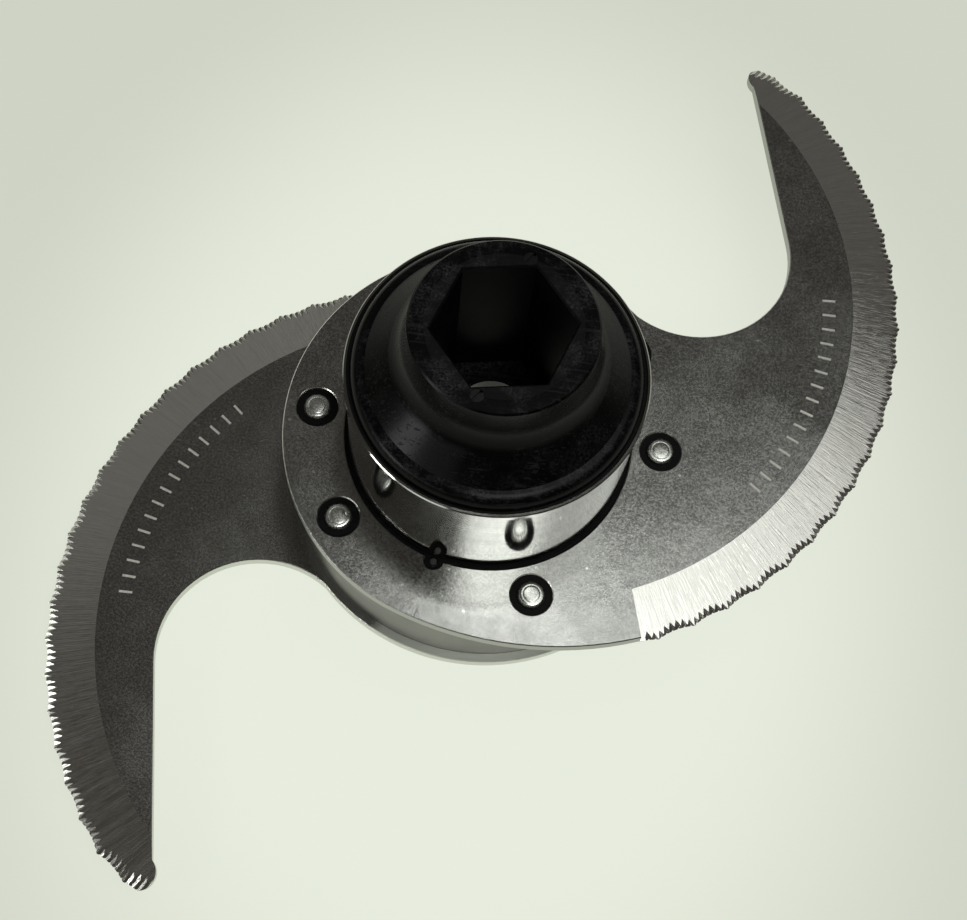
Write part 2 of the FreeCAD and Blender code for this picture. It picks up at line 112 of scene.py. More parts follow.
class Tree:
    """A node tree being filled, with short calls for the nodes in use here."""

    def __init__(self, tree: bpy.types.NodeTree) -> None:
        """Takes the tree and empties it.

        Args:
            tree: the material's or the group's node tree.
        """
        self.tree = tree
        tree.nodes.clear()

    def add(self, kind: str, **settings: object) -> Node:
        """Adds a node and sets its attributes.

        Args:
            kind: the node's type name.
            settings: attributes of the node by name.

        Returns:
            The new node.
        """
        node = self.tree.nodes.new(kind)
        for name, value in settings.items():
            setattr(node, name, value)
        return node

    def feed(self, socket: Socket, value: Value) -> None:
        """Links a socket into an input, or sets the input to a constant.

        Args:
            socket: the input.
            value: another node's output, a number or a vector.
        """
        if isinstance(value, bpy.types.NodeSocket):
            self.tree.links.new(value, socket)
            return
        if socket.type == "RGBA" and not isinstance(value, (int, float)) and len(value) == 3:
            value = (*value, 1.0)
        socket.default_value = value

    def math(self, operation: str, a: Value, b: Value = 0.0) -> Socket:
        """Adds a math node.

        Args:
            operation: the node's operation.
            a: first number.
            b: second number, where there is one.

        Returns:
            The result.
        """
        node = self.add("ShaderNodeMath", operation=operation)
        self.feed(node.inputs[0], a)
        self.feed(node.inputs[1], b)
        return node.outputs[0]

    def plus(self, a: Value, b: Value) -> Socket:
        """Returns the sum of two numbers."""
        return self.math("ADD", a, b)

    def times(self, a: Value, b: Value) -> Socket:
        """Returns the product of two numbers."""
        return self.math("MULTIPLY", a, b)

    def vector(self, operation: str, a: Value, b: Value = (0.0, 0.0, 0.0)) -> Socket:
        """Adds a vector math node.

        Args:
            operation: the node's operation.
            a: first vector.
            b: second vector, where there is one.

        Returns:
            A number from a product or a length, or else a vector.
        """
        node = self.add("ShaderNodeVectorMath", operation=operation)
        self.feed(node.inputs[0], a)
        self.feed(node.inputs[1], b)
        return node.outputs["Value" if operation in ("DOT_PRODUCT", "LENGTH") else "Vector"]

    def mix(self, factor: Value, a: Value, b: Value) -> Socket:
        """Mixes two colours.

        Args:
            factor: 0 for the first colour, 1 for the second.
            a: first colour.
            b: second colour.

        Returns:
            The mixed colour.
        """
        node = self.add("ShaderNodeMix", data_type="RGBA", clamp_factor=True)
        self.feed(node.inputs[0], factor)
        self.feed(node.inputs[6], a)
        self.feed(node.inputs[7], b)
        return node.outputs[2]

    def blend(self, factor: Value, a: Value, b: Value) -> Socket:
        """Mixes two numbers.

        Args:
            factor: 0 for the first number, 1 for the second.
            a: first number.
            b: second number.

        Returns:
            The value between them.
        """
        node = self.add("ShaderNodeMix", data_type="FLOAT", clamp_factor=True)
        self.feed(node.inputs[0], factor)
        self.feed(node.inputs[2], a)
        self.feed(node.inputs[3], b)
        return node.outputs[0]

    def steps(self, value: Value, span: Span, to: Span = (0.0, 1.0)) -> Socket:
        """Maps a value smoothly from one span to another and holds it at the ends.

        Args:
            value: the value to map.
            span: the ends of its span.
            to: what these ends become.

        Returns:
            The mapped value.
        """
        node = self.add("ShaderNodeMapRange", interpolation_type="SMOOTHSTEP", clamp=True)
        names = ("From Min", "From Max", "To Min", "To Max")
        for name, number in zip(names, (*span, *to)):
            node.inputs[name].default_value = number
        self.feed(node.inputs["Value"], value)
        return node.outputs["Result"]

    def noise(self, vector: Value, kind: Noise) -> Socket:
        """Adds a noise texture.

        Args:
            vector: the coordinates.
            kind: the noise.

        Returns:
            The noise, about 0.5 on average.
        """
        node = self.add("ShaderNodeTexNoise", noise_dimensions="3D")
        self.feed(node.inputs["Vector"], vector)
        node.inputs["Scale"].default_value = kind.scale
        node.inputs["Detail"].default_value = kind.detail
        node.inputs["Roughness"].default_value = kind.rough
        return node.outputs["Fac"]

    def mapping(self, vector: Value, turn: float, scale: Sequence[float],
                move: Sequence[float] = (0, 0, 0)) -> Socket:
        """Scales a vector, turns it about Z and moves it.

        Args:
            vector: the coordinates.
            turn: the turn about Z in degrees.
            scale: the scale on each axis.
            move: what is added at the end.

        Returns:
            The new coordinates.
        """
        node = self.add("ShaderNodeMapping", vector_type="POINT")
        self.feed(node.inputs["Vector"], vector)
        node.inputs["Location"].default_value = move
        node.inputs["Rotation"].default_value = (0.0, 0.0, math.radians(turn))
        node.inputs["Scale"].default_value = scale
        return node.outputs["Vector"]

    def flatten(self, vector: Socket) -> Socket:
        """Returns a vector without its height."""
        return self.vector("MULTIPLY", vector, (1.0, 1.0, 0.0))

    def rise(self) -> Socket:
        """Measures how far a face looks up, from -1 to 1.

        Returns:
            The height of the face's true normal.
        """
        parts = self.add("ShaderNodeSeparateXYZ")
        self.feed(parts.inputs[0], self.add("ShaderNodeNewGeometry").outputs["True Normal"])
        return parts.outputs[2]

    def bump(self, height: Value, strength: float, distance: float) -> Socket:
        """Adds a bump node.

        Args:
            height: the relief.
            strength: how much of it counts.
            distance: how high 1 stands, in metres.

        Returns:
            The bumped normal.
        """
        node = self.add("ShaderNodeBump")
        node.inputs["Strength"].default_value = strength
        node.inputs["Distance"].default_value = distance
        self.feed(node.inputs["Height"], height)
        return node.outputs["Normal"]

    def group(self, tree: bpy.types.NodeTree, vector: Socket) -> Node:
        """Places a node group on the given coordinates.

        Args:
            tree: the group.
            vector: the coordinates.

        Returns:
            The group's node.
        """
        node = self.add("ShaderNodeGroup", node_tree=tree)
        self.feed(node.inputs["Vector"], vector)
        return node


@dataclass(frozen=True)
class HairlineRun:
    """One direction of hairlines: its turn in degrees, its length and its noise."""

    turn: float
    stretch: float
    noise: Noise


HAIRLINE_RUNS = (
    HairlineRun(24, 26, Noise(1.9, 1.0, 0.4)),
    HairlineRun(-38, 34, Noise(2.4, 1.0, 0.4)),
    HairlineRun(83, 22, Noise(1.6, 1.0, 0.4)),
    HairlineRun(140, 30, Noise(2.9, 1.0, 0.4)),
)
HAIRLINE_SPAN = (0.665, 0.70)
HAIRLINE_PATCHES = Noise(0.35, 1.0)
HAIRLINE_PATCH_SHARE = 0.3
GRAIN = Noise(2.6, 3.0, 0.7)
STAINS = Noise(0.09, 4.0, 0.62)
SPECK_PATCHES = Noise(0.21, 1.0)
SPECK_CELLS = 0.33
SPECK_RADII = (0.06, 0.12)


class Effects:
    """Node groups that several finishes share, each made once, over millimetres."""

    made: dict[str, bpy.types.NodeTree] = {}

    @classmethod
    def once(cls, name: str, fill: Callable[[Tree, Socket], dict[str, Value]],
             *outputs: str) -> bpy.types.NodeTree:
        """Returns a group by its name, and makes it at its first use.

        Args:
            name: the group's name.
            fill: adds the nodes and returns what each output gives.
            outputs: the names of the outputs, which are plain numbers.

        Returns:
            The group.
        """
        if name in cls.made:
            return cls.made[name]
        group = bpy.data.node_groups.new(name, "ShaderNodeTree")
        face = group.interface
        face.new_socket("Vector", in_out="INPUT", socket_type="NodeSocketVector")
        for label in outputs:
            face.new_socket(label, in_out="OUTPUT", socket_type="NodeSocketFloat")
        tree = Tree(group)
        source, sink = tree.add("NodeGroupInput"), tree.add("NodeGroupOutput")
        for label, value in fill(tree, source.outputs["Vector"]).items():
            tree.feed(sink.inputs[label], value)
        cls.made[name] = group
        return group

    @classmethod
    def hairlines(cls) -> bpy.types.NodeTree:
        """Returns the group of fine hairlines in several directions."""
        return cls.once("Hairline scratches", cls.fill_hairlines, "Mask")

    @classmethod
    def speckle(cls) -> bpy.types.NodeTree:
        """Returns the group of bright specks, soft stains and fine grain."""
        return cls.once("Specks and stains", cls.fill_speckle, "Speck", "Stain", "Grain")

    @classmethod
    def sweep(cls) -> bpy.types.NodeTree:
        """Returns the group of places across and along the ground bevel."""
        return cls.once("Sweep of the edge", cls.fill_sweep, "Across", "Along")

    @classmethod
    def heads(cls) -> bpy.types.NodeTree:
        """Returns the group of distances from the nearest pin, as a share of its head."""
        return cls.once("Nearest pin", cls.fill_heads, "Away")

    @staticmethod
    def fill_hairlines(tree: Tree, vector: Socket) -> dict[str, Value]:
        """Adds the hairlines' nodes.

        Args:
            tree: the group's tree.
            vector: the coordinates.

        Returns:
            A mask that is 1 on a hairline.
        """
        mask: Value = 0.0
        for run in HAIRLINE_RUNS:
            along = tree.mapping(vector, run.turn, (1.0 / run.stretch, 1.0, 1.0),
                                 (run.turn, run.stretch, 0))
            patches = tree.mapping(vector, run.turn, (HAIRLINE_PATCH_SHARE,) * 3,
                                   (run.stretch, 0, 0))
            line = tree.steps(tree.noise(along, run.noise), HAIRLINE_SPAN)
            patch = tree.steps(tree.noise(patches, HAIRLINE_PATCHES), (0.45, 0.62))
            mask = tree.math("MAXIMUM", mask, tree.times(line, patch))
        return {"Mask": mask}

    @staticmethod
    def fill_speckle(tree: Tree, vector: Socket) -> dict[str, Value]:
        """Adds the nodes of specks, stains and grain.

        Args:
            tree: the group's tree.
            vector: the coordinates.

        Returns:
            The three masks.
        """
        cells = tree.add("ShaderNodeTexVoronoi", feature="F1")
        tree.feed(cells.inputs["Vector"], vector)
        cells.inputs["Scale"].default_value = SPECK_CELLS
        gate = tree.steps(tree.noise(vector, SPECK_PATCHES), (0.52, 0.60))
        spot = tree.steps(cells.outputs["Distance"], SPECK_RADII, (1.0, 0.0))
        return {
            "Speck": tree.times(spot, gate),
            "Stain": tree.steps(tree.noise(vector, STAINS), (0.36, 0.66)),
            "Grain": tree.noise(vector, GRAIN),
        }

    @staticmethod
    def fill_sweep(tree: Tree, vector: Socket) -> dict[str, Value]:
        """Adds the nodes of the edge's circle.

        Args:
            tree: the group's tree.
            vector: the coordinates, in the stamping's own frame.

        Returns:
            Millimetres across the bevel from its inner line, and along the edge.
        """
        parts = tree.add("ShaderNodeSeparateXYZ")
        tree.feed(parts.inputs[0], tree.vector("SUBTRACT", vector, (SWEEP.x, SWEEP.y, 0.0)))
        x, y = parts.outputs[0], parts.outputs[1]
        radius = tree.math("SQRT", tree.plus(tree.times(x, x), tree.times(y, y)))
        return {
            "Across": tree.math("SUBTRACT", radius, SWEEP.edge_r - SWEEP.bevel_w),
            "Along": tree.times(tree.math("ARCTAN2", y, x), SWEEP.edge_r),
        }

    @staticmethod
    def fill_heads(tree: Tree, vector: Socket) -> dict[str, Value]:
        """Adds the nodes that find the nearest pin.

        Args:
            tree: the group's tree.
            vector: the coordinates, in the stamping's own frame.

        Returns:
            The distance from its middle, 1 at the rim of its head.
        """
        flat = tree.flatten(vector)
        nearest: Value = 100.0
        for angle in PINS.angles:
            turn = math.radians(angle)
            middle = (PINS.radius * math.cos(turn), PINS.radius * math.sin(turn), 0.0)
            away = tree.vector("SUBTRACT", flat, middle)
            nearest = tree.math("MINIMUM", nearest, tree.vector("DOT_PRODUCT", away, away))
        return {"Away": tree.math("DIVIDE", tree.math("SQRT", nearest), PINS.head_r)}


# Finishes

NOISE_SPAN = (0.3, 0.7)


def shade(colour: Colour, share: float) -> Colour:
    """Returns a colour darkened to a share of itself."""
    return (colour[0] * share, colour[1] * share, colour[2] * share)


class Surface:
    """A new material with a Principled shader, and its millimetre coordinates."""

    def __init__(self, name: str, turn: float = 0.0) -> None:
        """Makes the material.

        Args:
            name: the material's name.
            turn: how far the piece is turned about Z, in degrees: the coordinates undo it.
        """
        self.material = bpy.data.materials.new(name)
        self.material.use_nodes = True
        self.tree = Tree(self.material.node_tree)
        self.shader = self.tree.add("ShaderNodeBsdfPrincipled")
        output = self.tree.add("ShaderNodeOutputMaterial")
        self.tree.feed(output.inputs["Surface"], self.shader.outputs[0])
        scale = 1.0 / MM
        place = self.tree.add("ShaderNodeTexCoord").outputs["Object"]
        self.place = self.tree.mapping(place, -turn, (scale, scale, scale))

    def close(self, colour: Value, rough: Value, normal: Value, metallic: float) -> Material:
        """Feeds the shader.

        Args:
            colour: the base colour.
            rough: the roughness.
            normal: the bumped normal.
            metallic: 1 for a metal, 0 for anything else.

        Returns:
            The finished material.
        """
        for name, value in (("Base Color", colour), ("Roughness", rough), ("Normal", normal),
                            ("Metallic", metallic)):
            self.tree.feed(self.shader.inputs[name], value)
        return self.material


@dataclass(frozen=True)
class StampingMaps:
    """Masks and noises that one stamping's colour, roughness and relief share."""

    wall: Socket
    bevel: Socket
    grain: Socket
    stain: Socket
    speck: Socket
    streaks: Socket
    ripple: Socket


WALL_STEEL: Colour = (0.42, 0.43, 0.40)
WALL_RISE = (0.25, 0.35)
BEVEL_RISE = (0.978, 0.992)
LEDGE_FADE = 0.1
LEDGE_ENDS = (0.0, 3.0)
FINE_STREAKS = Noise(4.6, 2.0, 0.65)
BROAD_STREAKS = Noise(1.1, 1.0)
BROAD_SHARE = 0.35
STREAK_SHARE = 0.035
RIPPLE = Noise(0.3, 2.0)


@dataclass(frozen=True)
class StampingFinish:
    """Worn flat steel with a ground bevel, for one of the two stampings."""

    name: str
    turn: float
    wall: Colour = WALL_STEEL
    # radius beyond which the ledge gets the wall colour as a painted highlight, or none
    ledge_r: Optional[float] = None
    ledge_turn: float = 155.0
    flat: Colour = (0.59, 0.585, 0.57)
    ground: Colour = (0.73, 0.71, 0.68)
    bright: Colour = (0.85, 0.85, 0.82)
    flat_rough: float = 0.18
    ground_rough: float = 0.19
    wall_rough: float = 0.45
    grain_shade: float = 0.72
    stain_shade: float = 0.62
    streak_shade: float = 0.9
    stained: float = 0.22
    streak_depth: float = 2.3
    relief: float = 0.06

    def ledge(self, tree: Tree, place: Socket) -> Value:
        """Masks the ledge that stands out beyond the spacer, on its free side only, where the pale
        wall colour is a painted highlight.

        Args:
            tree: the material's tree.
            place: the coordinates, in the stamping's own frame.

        Returns:
            1 on the ledge, or 0 everywhere where the blade has none.
        """
        if self.ledge_r is None:
            return 0.0
        flat = tree.flatten(place)
        radius = tree.math("SQRT", tree.vector("DOT_PRODUCT", flat, flat))
        turn = math.radians(self.ledge_turn)
        free = tree.vector("DOT_PRODUCT", flat, (math.cos(turn), math.sin(turn), 0.0))
        beyond = tree.steps(radius, (self.ledge_r - LEDGE_FADE, self.ledge_r + LEDGE_FADE))
        return tree.times(beyond, tree.steps(free, LEDGE_ENDS))

    def streaks(self, tree: Tree, place: Socket) -> Socket:
        """Adds fine grinding streaks that run across the bevel.

        Args:
            tree: the material's tree.
            place: the coordinates, in the stamping's own frame.

        Returns:
            A noise drawn out across the bevel.
        """
        sweep = tree.group(Effects.sweep(), place)
        at = tree.add("ShaderNodeCombineXYZ")
        tree.feed(at.inputs[0], sweep.outputs["Along"])
        tree.feed(at.inputs[1], tree.times(sweep.outputs["Across"], STREAK_SHARE))
        fine = tree.noise(at.outputs[0], FINE_STREAKS)
        broad = tree.noise(at.outputs[0], BROAD_STREAKS)
        return tree.blend(BROAD_SHARE, fine, broad)

    def maps(self, tree: Tree, place: Socket) -> StampingMaps:
        """Adds the masks and noises.

        Args:
            tree: the material's tree.
            place: the coordinates, in the stamping's own frame.

        Returns:
            The maps.
        """
        rise = tree.math("ABSOLUTE", tree.rise())
        marks = tree.group(Effects.speckle(), place).outputs
        upright = tree.steps(rise, WALL_RISE, (1.0, 0.0))
        return StampingMaps(
            # upright walls, plus the ledge that gets the wall colour as a painted highlight where
            # there is one
            wall=tree.math("MAXIMUM", upright, self.ledge(tree, place)),
            bevel=tree.steps(rise, BEVEL_RISE, (1.0, 0.0)),
            grain=marks["Grain"],
            stain=marks["Stain"],
            speck=marks["Speck"],
            streaks=self.streaks(tree, place),
            ripple=tree.noise(place, RIPPLE),
        )

    def colour(self, tree: Tree, maps: StampingMaps) -> Socket:
        """Builds the colour.

        Args:
            tree: the material's tree.
            maps: its masks and noises.

        Returns:
            Grainy stained flats, a streaked bevel and plain walls.
        """
        grainy = tree.steps(maps.grain, (0.34, 0.66))
        flat = tree.mix(grainy, shade(self.flat, self.grain_shade), self.flat)
        stained = shade(self.flat, self.stain_shade)
        flat = tree.mix(tree.times(maps.stain, self.stained), flat, stained)
        flat = tree.mix(maps.speck, flat, self.bright)
        streaked = tree.steps(maps.streaks, (0.36, 0.64))
        ground = tree.mix(streaked, shade(self.ground, self.streak_shade), self.ground)
        return tree.mix(maps.wall, tree.mix(maps.bevel, flat, ground), self.wall)

    def rough(self, tree: Tree, maps: StampingMaps) -> Socket:
        """Builds the roughness.

        Args:
            tree: the material's tree.
            maps: its masks and noises.

        Returns:
            A roughness that follows grain, stains and streaks.
        """
        flat = tree.steps(maps.grain, NOISE_SPAN, (self.flat_rough - 0.03, self.flat_rough + 0.04))
        flat = tree.plus(flat, tree.times(maps.stain, 0.05))
        ground = tree.steps(maps.streaks, NOISE_SPAN,
                            (self.ground_rough - 0.03, self.ground_rough + 0.05))
        return tree.blend(maps.wall, tree.blend(maps.bevel, flat, ground), self.wall_rough)

    def normal(self, tree: Tree, maps: StampingMaps) -> Socket:
        """Builds the bumped normal.

        Args:
            tree: the material's tree.
            maps: its masks and noises.

        Returns:
            Slight waves on the flats and grinding streaks on the bevel.
        """
        waved = tree.plus(tree.times(maps.grain, 0.2), tree.times(maps.ripple, 0.9))
        height = tree.blend(maps.bevel, waved, tree.times(maps.streaks, self.streak_depth))
        return tree.bump(height, 0.5, self.relief * MM)

    def material(self) -> Material:
        """Builds the material.

        Returns:
            Steel whose bevel is streaked across the edge and whose flats are worn.
        """
        surface = Surface(self.name, self.turn)
        tree = surface.tree
        maps = self.maps(tree, surface.place)
        return surface.close(self.colour(tree, maps), self.rough(tree, maps),
                             self.normal(tree, maps), metallic=1.0)


@dataclass(frozen=True)
class HeadFinish:
    """Bright pin heads, a little domed and ringed by the tool that set them."""

    name: str
    turn: float
    tint: Colour = (0.80, 0.80, 0.77)
    rim_tint: Colour = (0.40, 0.40, 0.38)
    rim: Span = (0.82, 1.0)
    rough: float = 0.27
    dome: float = 0.45
    ring_at: float = 0.62
    ring_width: float = 0.1
    ring_depth: float = 0.06
    grain_shade: float = 0.75
    grain_depth: float = 0.015

    def material(self) -> Material:
        """Builds the material.

        Returns:
            Steel that is domed round the middle of each pin.
        """
        surface = Surface(self.name, self.turn)
        tree = surface.tree
        away = tree.group(Effects.heads(), surface.place).outputs["Away"]
        grain = tree.group(Effects.speckle(), surface.place).outputs["Grain"]
        dull = shade(self.tint, self.grain_shade)
        tint = tree.mix(tree.steps(grain, (0.35, 0.65)), dull, self.tint)
        colour = tree.mix(tree.steps(away, self.rim), tint, self.rim_tint)
        rough = tree.steps(grain, NOISE_SPAN, (self.rough - 0.04, self.rough + 0.06))
        off_ring = tree.math("ABSOLUTE", tree.math("SUBTRACT", away, self.ring_at))
        ring = tree.times(tree.steps(off_ring, (0.0, self.ring_width)), self.ring_depth)
        dome = tree.times(tree.math("POWER", away, 3.0), -self.dome)
        height = tree.plus(tree.plus(dome, ring), tree.times(grain, self.grain_depth))
        return surface.close(colour, rough, tree.bump(height, 1.0, MM), metallic=1.0)


LATHE_SHARES = (0.02, 0.02, 5.0)
LATHE_RINGS = Noise(1.4, 2.0, 0.6)


@dataclass(frozen=True)
class SteelFinish:
    """Turned or polished steel and aluminium."""

    name: str
    tint: Colour
    rough: float
    grain: float = 0.3
    rings: bool = False
    stained: float = 0.2
    grain_shade: float = 0.78
    stain_shade: float = 0.6

    def material(self) -> Material:
        """Builds the material.

        Returns:
            Metal with faint lathe rings or grain, specks and smears.
        """
        surface = Surface(self.name)
        tree = surface.tree
        marks = tree.group(Effects.speckle(), surface.place).outputs
        stain, grain = marks["Stain"], marks["Grain"]
        if self.rings:
            grain = tree.noise(tree.mapping(surface.place, 0.0, LATHE_SHARES), LATHE_RINGS)
        dull = shade(self.tint, self.grain_shade)
        colour = tree.mix(tree.steps(grain, NOISE_SPAN), dull, self.tint)
        stained = shade(self.tint, self.stain_shade)
        colour = tree.mix(tree.times(stain, self.stained), colour, stained)
        rough = tree.plus(self.rough, tree.times(stain, 0.06))
        normal = tree.bump(tree.times(grain, self.grain), 0.2, 0.01 * MM)
        return surface.close(colour, rough, normal, metallic=1.0)


DUST_FILM = Noise(0.16, 5.0, 0.68)


@dataclass(frozen=True)
class MouldedFinish:
    """Black moulded plastic or rubber: dust on what looks up, scuffs, and painted shade on walls.
    """

    name: str
    tint: Colour
    dust: Colour
    rough: float
    sheen: float
    scuffs: float
    hairlines: float = 0.2
    wall_dust: float = 0.2
    # share of the tint left on faces that don't look up: painted shade
    painted_wall_shade: float = 0.3
    pebble: float = 0.3
    dust_rough: float = 0.35
    hairline_rough: float = 0.15
    hairline_depth: float = 0.6
    flat_rise: Span = (0.6, 1.0)

    def dusty(self, tree: Tree, place: Socket, grain: Socket, flat: Socket) -> Socket:
        """Returns a mask of the dust.

        Args:
            tree: the material's tree.
            place: the coordinates.
            grain: fine noise that breaks the dust up.
            flat: 1 on faces that look up.

        Returns:
            Patches of dust, thick on flat faces and thin on walls.
        """
        film = tree.steps(tree.noise(place, DUST_FILM), (0.42, 0.78))
        settled = tree.blend(flat, self.scuffs * self.wall_dust, self.scuffs)
        return tree.times(tree.times(film, tree.steps(grain, (0.35, 0.7))), settled)

    def material(self) -> Material:
        """Builds the material.

        Returns:
            Dark plastic, dusty in patches, with hairline scuffs and painted shade on walls.
        """
        surface = Surface(self.name)
        tree = surface.tree
        grain = tree.group(Effects.speckle(), surface.place).outputs["Grain"]
        hairs = tree.group(Effects.hairlines(), surface.place).outputs["Mask"]
        flat = tree.steps(tree.rise(), self.flat_rise)
        dusty = self.dusty(tree, surface.place, grain, flat)
        # faces that don't look up are darkened: painted shade
        bare_with_painted_shade = tree.mix(flat, shade(self.tint, self.painted_wall_shade), self.tint)
        colour = tree.mix(dusty, bare_with_painted_shade, self.dust)
        colour = tree.mix(tree.times(hairs, self.hairlines), colour, self.dust)
        rough = tree.plus(self.rough, tree.times(dusty, self.dust_rough))
        rough = tree.plus(rough, tree.times(hairs, self.hairline_rough))
        height = tree.plus(tree.times(grain, self.pebble), tree.times(hairs, -self.hairline_depth))
        surface.shader.inputs["Specular IOR Level"].default_value = self.sheen
        return surface.close(colour, rough, tree.bump(height, 0.25, 0.02 * MM), metallic=0.0)


# Pieces that the scene adds


def finish_piece(mesh: bmesh.types.BMesh, name: str,
                 material: Material) -> bpy.types.Object:
    """Turns a bmesh into a piece of the object.

    Args:
        mesh: the shape, freed here.
        name: the piece's name.
        material: its finish.

    Returns:
        The new object, riding on the body.
    """
    bmesh.ops.recalc_face_normals(mesh, faces=mesh.faces[:])
    data = bpy.data.meshes.new(name)
    mesh.to_mesh(data)
    mesh.free()
    data.materials.append(material)
    piece = bpy.data.objects.new(name, data)
    bpy.context.scene.collection.objects.link(piece)
    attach(piece, BODY)
    LOG.info("piece %s: %d faces", name, len(data.polygons))
    return piece


@dataclass(frozen=True)
class StampedMarks:
    """A row of plain short bars stamped along each blade, in millimetres and degrees."""

    radius: float = 54.5
    start: float = -37.0
    end: float = 4.5
    count: int = 15
    length: float = 2.3
    width: float = 0.42
    proud: float = 0.05
    chamfer: float = 0.03

    def build(self, name: str, slot: str, top: float, turn: float,
              material: Material) -> bpy.types.Object:
        """Makes the row on one blade.

        Args:
            name: the piece's name.
            slot: the blade's material slot, not used.
            top: height of the blade's top face in millimetres.
            turn: how far the blade is turned, in degrees.
            material: the bars' finish.

        Returns:
            The row as one object.
        """
        mesh = bmesh.new()
        for index in range(self.count):
            angle = self.start + (self.end - self.start) * index / (self.count - 1)
            bar = bmesh.ops.create_cube(mesh, size=1.0)["verts"]
            bmesh.ops.scale(mesh, vec=(self.length, self.width, 2 * self.proud), verts=bar)
            spin = Matrix.Rotation(math.radians(angle), 4, "Z")
            shift = Matrix.Translation((self.radius, 0.0, 0.0))
            bmesh.ops.transform(mesh, matrix=spin @ shift, verts=bar)
        bmesh.ops.bevel(mesh, geom=mesh.edges[:], offset=self.chamfer, affect="EDGES",
                        segments=1, profile=0.5, material=-1)
        place = Matrix.Scale(MM, 4) @ Matrix.Translation((0.0, 0.0, top))
        place = place @ Matrix.Rotation(math.radians(turn), 4, "Z")
        place = place @ Matrix.Translation((SWEEP.x, SWEEP.y, 0.0))
        bmesh.ops.transform(mesh, matrix=place, verts=mesh.verts[:])
        return finish_piece(mesh, name, material)


# The studio


@dataclass(frozen=True)
class PhotoCamera:
    """The camera that took the photograph, in pixels, radians and millimetres."""

    focal_px: float = 1636.22
    tilt: float = -0.386445
    roll: float = -0.135665
    offset: Point = (2.11926, 4.58173, -274.80596)
    centre_x_px: float = 475.94
    clip: Span = (0.01, 20.0)

    def build(self) -> bpy.types.Object:
        """Makes the camera and gives it to the scene.

        Returns:
            The camera object.
        """
        data = bpy.data.cameras.new("photo_camera")
        data.sensor_width = SENSOR_MM
        data.lens = self.focal_px * SENSOR_MM / IMAGE_SIZE[0]
        data.shift_x = (IMAGE_SIZE[0] / 2 - self.centre_x_px) / IMAGE_SIZE[0]
        data.clip_start, data.clip_end = self.clip
        turned = Matrix.Rotation(self.roll, 3, "Z") @ Matrix.Rotation(self.tilt, 3, "X")
        turned = turned.transposed()
        place = -(turned @ Vector(self.offset)) + Vector((0.0, 0.0, STACK.upper_top))
        camera = bpy.data.objects.new("photo_camera", data)
        camera.matrix_world = Matrix.Translation(place * MM) @ turned.to_4x4()
        bpy.context.scene.collection.objects.link(camera)
        bpy.context.scene.camera = camera
        return camera


class LampRole(Enum):
    """What each soft lamp is there for."""

    KEY = "key"
    GLINT = "glint"
    TOP = "top"
    FILL = "fill"
    SIDE = "side"
    BACK = "back"
    RIM = "rim"


@dataclass(frozen=True)
class SoftLamp:
    """A rectangular studio lamp, in metres and degrees, as bright as its glow says."""

    role: LampRole
    place: Point
    aim: Point
    size: Span
    glow: float
    turn: float = 0.0
    colour: Colour = (0.96, 1.0, 0.955)

    def build(self) -> bpy.types.Object:
        """Makes the lamp and points it.

        Returns:
            The lamp object.
        """
        data = bpy.data.lights.new("lamp_" + self.role.value, "AREA")
        data.shape = "RECTANGLE"
        data.size, data.size_y = self.size
        data.energy = self.glow * math.pi * self.size[0] * self.size[1]
        data.color = self.colour
        lamp = bpy.data.objects.new(data.name, data)
        lamp.location = self.place
        facing = (Vector(self.aim) - Vector(self.place)).to_track_quat("-Z", "Y")
        spin = Quaternion((0.0, 0.0, 1.0), math.radians(self.turn))
        lamp.rotation_euler = (facing @ spin).to_euler()
        bpy.context.scene.collection.objects.link(lamp)
        return lamp


LAMPS = (
    SoftLamp(LampRole.KEY, (0.324, -0.068, 0.62), (0.324, -0.068, 0.0), (0.545, 0.564),
             glow=1.16, turn=17.6),
    SoftLamp(LampRole.GLINT, (0.076, 0.112, 0.62), (0.076, 0.112, 0.0), (0.17, 0.094), glow=4.3),
    SoftLamp(LampRole.TOP, (0.12, -0.30, 0.63), (0.12, -0.30, 0.0), (0.30, 0.26), glow=4.0),
    SoftLamp(LampRole.FILL, (-0.56, -0.43, 0.32), (0.0, 0.0, 0.03), (1.0, 0.12), glow=1.3),
    SoftLamp(LampRole.SIDE, (-0.21, -0.146, 0.118), (-0.015, -0.02, 0.055), (0.075, 0.04),
             glow=8.5),
    SoftLamp(LampRole.BACK, (-0.66, 0.62, 0.62), (0.0, 0.0, 0.02), (1.25, 0.75), glow=0.115),
    SoftLamp(LampRole.RIM, (0.2, 0.95, 0.65), (0.0, 0.0, 0.02), (1.4, 0.6), glow=0.06),
)


